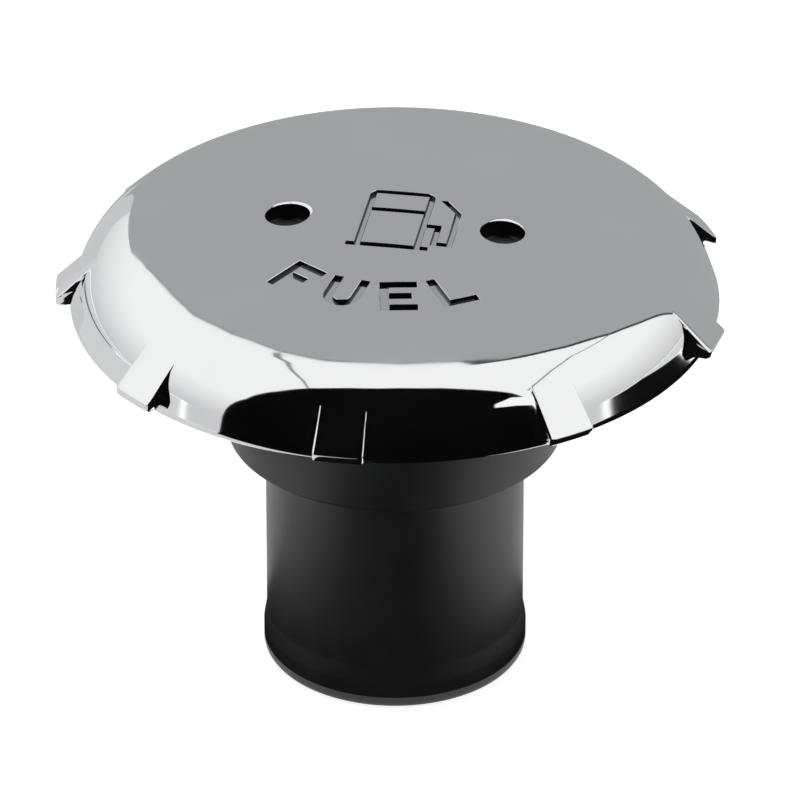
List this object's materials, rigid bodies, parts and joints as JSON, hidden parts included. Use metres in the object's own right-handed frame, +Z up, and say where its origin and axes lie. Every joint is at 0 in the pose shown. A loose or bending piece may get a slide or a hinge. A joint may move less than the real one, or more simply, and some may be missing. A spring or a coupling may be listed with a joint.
{
  "type": "deck fill cap",
  "caption": "Domed screw-in deck fill cap with grip lobes and key holes, on a fill body with a mounting flange, collar and hose tail; a bead chain and toggle bar keep it captive.",
  "frame": {"origin": "on the body's axis in the deck plane, at the underside of the deck gasket, in the middle of the deck screws' circle", "axes": "+Z up out of the deck along the body's axis; X through the two key holes; -Y towards the foot of the legend"},
  "size_m": [0.0984, 0.0969, 0.0719],
  "materials": {
    "chrome_plate": "mirror chrome plate on a zinc casting",
    "black_nylon": "satin glass-filled nylon, as moulded",
    "plug_nylon": "satin nylon, as moulded",
    "gasket_rubber": "matt closed-cell rubber sheet",
    "seal_rubber": "smooth nitrile",
    "stainless_plate": "rolled stainless sheet",
    "stainless_screw": "cold-headed stainless",
    "stainless_wire": "drawn stainless wire and bar",
    "bead_steel": "bright rolled beads"
  },
  "bodies": {
    "deck_fitting": {"fill_body": "black_nylon", "deck_gasket": "gasket_rubber", "retainer_ring": "stainless_plate"},
    "toggle": {"toggle_bar": "stainless_wire"},
    "chain": {"swivel_stirrup": "stainless_plate", "bead_chain": "bead_steel", "chain_coupling": "bead_steel", "oblong_link": "stainless_wire"},
    "cap": {"cap_shell": "chrome_plate", "threaded_plug": "plug_nylon", "o_ring": "seal_rubber", "plug_screws": "stainless_screw", "plug_washers": "stainless_plate", "chain_screw": "stainless_screw"}
  },
  "joints": [
    {"name": "cap_lift", "type": "slide", "parent": "deck_fitting", "child": "toggle", "axis": [0, 0, 1], "range_m": [0, 0.025]},
    {"name": "thread_rise", "type": "slide", "parent": "toggle", "child": "chain", "axis": [0, 0, 1], "range_m": [0, 0.006]},
    {"name": "cap_turn", "type": "hinge", "parent": "chain", "child": "cap", "pos_m": [0, 0, 0], "axis": [0, 0, 1], "range_deg": [0, 540]}
  ],
  "couplings": [
    {"joint": "thread_rise", "follows": "cap_turn", "m_per_rad": 0.00063662}
  ]
}
